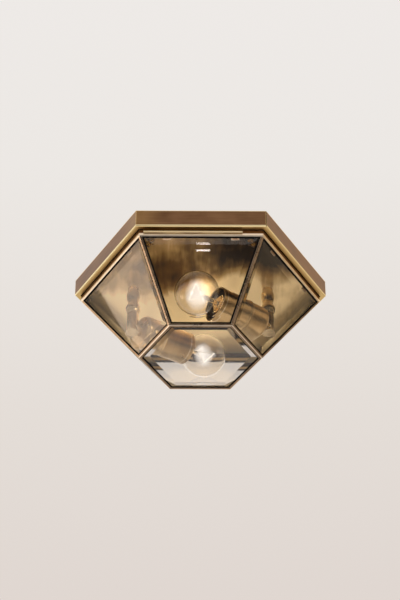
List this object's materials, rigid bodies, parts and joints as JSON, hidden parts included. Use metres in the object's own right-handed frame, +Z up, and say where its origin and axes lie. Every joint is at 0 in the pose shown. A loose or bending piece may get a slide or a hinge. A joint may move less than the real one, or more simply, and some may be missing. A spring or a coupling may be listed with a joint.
{
  "type": "ceiling light",
  "caption": "Flush hexagonal ceiling light in antique brass, with a hinged lantern of bevelled clear glass panes round clear bulbs in brass holders on turned pillars.",
  "frame": {"origin": "centre of the mounting plate's slots on the ceiling plane, over the middle of the hexagon", "axes": "+Z up into the ceiling, +X right, -Y towards the side of the hexagon that carries the hinge"},
  "size_m": [0.256, 0.2312, 0.0982],
  "materials": {
    "antique_brass": "antique satin, lacquered",
    "brushed_brass": "brushed, mottled, reflective",
    "polished_brass": "polished",
    "bevelled_glass": "clear, bevelled round the edge",
    "bulb_glass": "clear",
    "nickel_plate": "nickel plated",
    "black_glass": "gloss",
    "solder": "satin",
    "filament_wire": "glowing",
    "black_phenolic": "moulded",
    "wire_sheath": "satin",
    "zinc_steel": "zinc plated",
    "terminal_plastic": "moulded",
    "black_seal": "matt"
  },
  "bodies": {
    "canopy": {"canopy_wall": "antique_brass", "closing_boss": "antique_brass", "cup_lock_nuts": "zinc_steel", "earth_terminal": "zinc_steel", "hinge_leaf_fixed": "antique_brass", "hinge_pin": "antique_brass", "holder_cup_left": "antique_brass", "holder_cup_right": "antique_brass", "holder_nipples": "antique_brass", "holder_spacers": "antique_brass", "mounting_bushes": "zinc_steel", "mounting_plate": "zinc_steel", "pillar_left": "antique_brass", "pillar_lock_nuts": "zinc_steel", "pillar_right": "antique_brass", "plate_screws": "polished_brass", "reflector_plate": "brushed_brass", "socket_body_left": "black_phenolic", "socket_body_right": "black_phenolic", "socket_contacts": "nickel_plate", "socket_shell_left": "nickel_plate", "socket_shell_right": "nickel_plate", "terminal_block": "terminal_plastic", "terminal_screws": "zinc_steel", "wiring_left": "wire_sheath", "wiring_right": "wire_sheath"},
    "lantern": {"bottom_frame": "antique_brass", "catch_plate": "antique_brass", "glazing_seals": "black_seal", "hinge_leaf_moving": "antique_brass", "pane_bottom": "bevelled_glass", "pane_clips": "antique_brass", "pane_front": "bevelled_glass", "pane_front_left": "bevelled_glass", "pane_front_right": "bevelled_glass", "pane_rear": "bevelled_glass", "pane_rear_left": "bevelled_glass", "pane_rear_right": "bevelled_glass", "rib_front_left": "antique_brass", "rib_front_right": "antique_brass", "rib_left": "antique_brass", "rib_rear_left": "antique_brass", "rib_rear_right": "antique_brass", "rib_right": "antique_brass", "top_rim": "antique_brass"},
    "bulb_left": {"bulb_base_left": "black_glass", "bulb_cap_left": "nickel_plate", "bulb_glass_left": "bulb_glass", "bulb_stem_left": "bulb_glass", "bulb_tip_left": "solder", "filament_left": "filament_wire", "lead_wires_left": "filament_wire"},
    "bulb_right": {"bulb_base_right": "black_glass", "bulb_cap_right": "nickel_plate", "bulb_glass_right": "bulb_glass", "bulb_stem_right": "bulb_glass", "bulb_tip_right": "solder", "filament_right": "filament_wire", "lead_wires_right": "filament_wire"},
    "closing_screw": {"closing_screw": "antique_brass"}
  },
  "joints": [
    {"name": "lantern_hinge", "type": "hinge", "parent": "canopy", "child": "lantern", "pos_m": [0, -0.10679, -0.0236], "axis": [-1, 0, 0], "range_deg": [0, 85]},
    {"name": "bulb_left_screw", "type": "hinge", "parent": "canopy", "child": "bulb_left", "pos_m": [0.00388, 0.05053, -0.0555], "axis": [-0.8148, -0.5768, -0.0576], "continuous": true},
    {"name": "bulb_right_screw", "type": "hinge", "parent": "canopy", "child": "bulb_right", "pos_m": [-0.00388, -0.05053, -0.0555], "axis": [0.8148, 0.5768, -0.0576], "continuous": true},
    {"name": "closing_screw_turn", "type": "hinge", "parent": "canopy", "child": "closing_screw", "pos_m": [0, 0.112, -0.0151], "axis": [0, 1, 0], "continuous": true}
  ]
}
